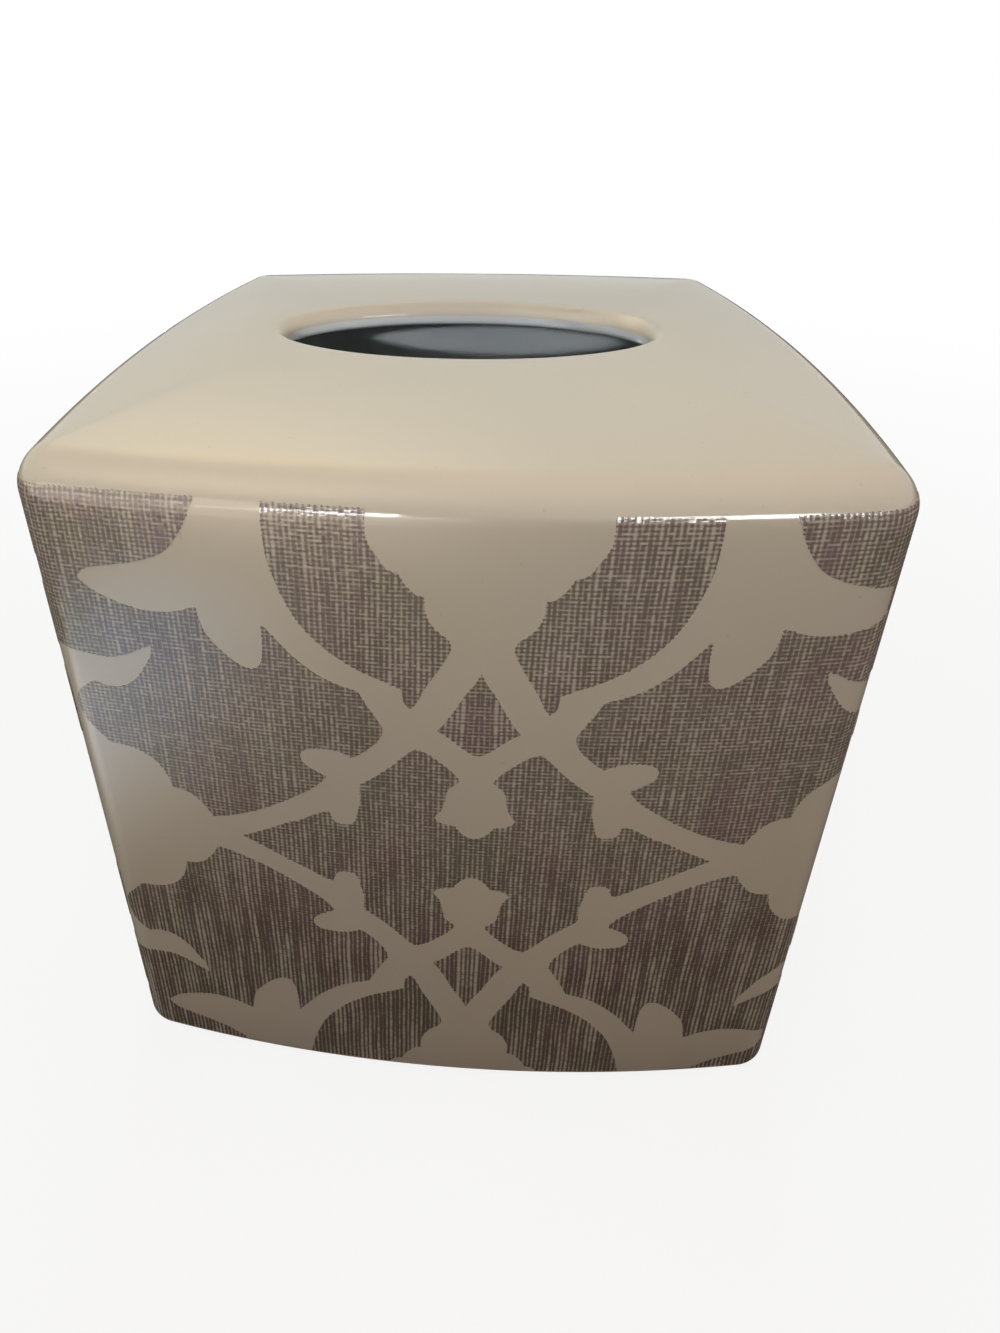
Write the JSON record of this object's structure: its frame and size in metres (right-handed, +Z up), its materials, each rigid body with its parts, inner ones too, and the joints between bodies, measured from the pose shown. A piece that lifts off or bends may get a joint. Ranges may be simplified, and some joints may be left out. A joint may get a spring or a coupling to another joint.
{
  "type": "tissue box cover",
  "caption": "Ceramic cover for a cube tissue box: bowed square walls with a fired scroll print, rounded shoulder, crowned top with an oval opening, open bottom.",
  "frame": {"origin": "centre of the foot rim, on the surface that the cover stands on", "axes": "+Z up; -Y is the front wall; +X is the right-hand wall seen from the front; the oval opening is long along X"},
  "size_m": [0.1504, 0.1504, 0.1455],
  "materials": {
    "glaze": "glossy ivory glaze",
    "fired_print": "taupe ceramic colour with a linen weave, fired on and slightly raised"
  },
  "bodies": {
    "root": {"ceramic_body": "glaze", "print_front": "fired_print", "print_right": "fired_print", "print_back": "fired_print", "print_left": "fired_print"}
  },
  "joints": []
}
